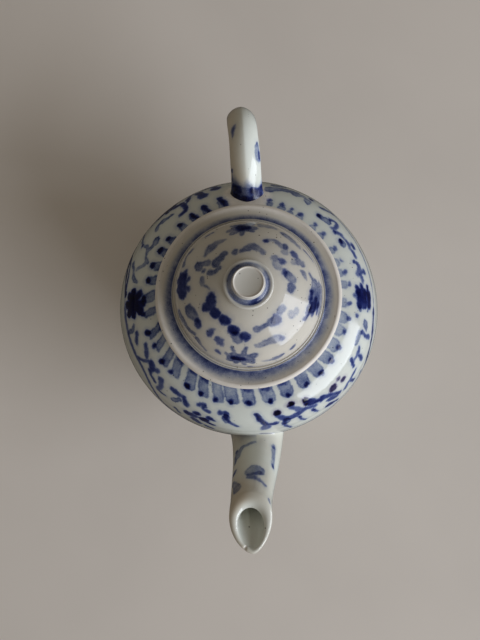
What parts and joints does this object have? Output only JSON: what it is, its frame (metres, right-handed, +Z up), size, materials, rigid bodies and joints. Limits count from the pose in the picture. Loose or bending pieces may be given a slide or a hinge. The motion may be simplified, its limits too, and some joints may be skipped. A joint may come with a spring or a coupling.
{
  "type": "teapot",
  "caption": "Squat globular porcelain teapot with loop handle, pinched spout and flanged domed lid with a button knob that lifts off, painted in blue scrolls.",
  "frame": {"origin": "on the table at the centre of the foot ring", "axes": "+Z up along the pot's axis, +Y towards the handle, -Y towards the spout"},
  "size_m": [0.1176, 0.1821, 0.1126],
  "materials": {
    "pot_glaze": "clear gloss glaze over cobalt blue painting",
    "foot_biscuit": "bare fired porcelain, matt",
    "collar_glaze": "gloss glaze, thin and warm at the seat",
    "spout_glaze": "clear gloss glaze over cobalt blue painting",
    "handle_glaze": "clear gloss glaze over cobalt blue painting",
    "lid_glaze": "warm grey gloss glaze over cobalt blue painting, small dark specks",
    "ring_biscuit": "bare fired porcelain, matt",
    "knob_glaze": "gloss glaze with a cobalt blue band"
  },
  "bodies": {
    "pot": {"pot_body": "pot_glaze", "foot_ring": "foot_biscuit", "neck_collar": "collar_glaze", "spout": "spout_glaze", "handle": "handle_glaze"},
    "lid_ring": {"lid_locating_ring": "ring_biscuit"},
    "lid": {"lid_dome": "lid_glaze", "lid_knob": "knob_glaze"}
  },
  "joints": [
    {"name": "lid_lift", "type": "slide", "parent": "pot", "child": "lid_ring", "axis": [0, 0, 1], "range_m": [0, 0.08]},
    {"name": "lid_turn", "type": "hinge", "parent": "lid_ring", "child": "lid", "pos_m": [0, 0, 0.0835], "axis": [0, 0, 1], "continuous": true}
  ]
}
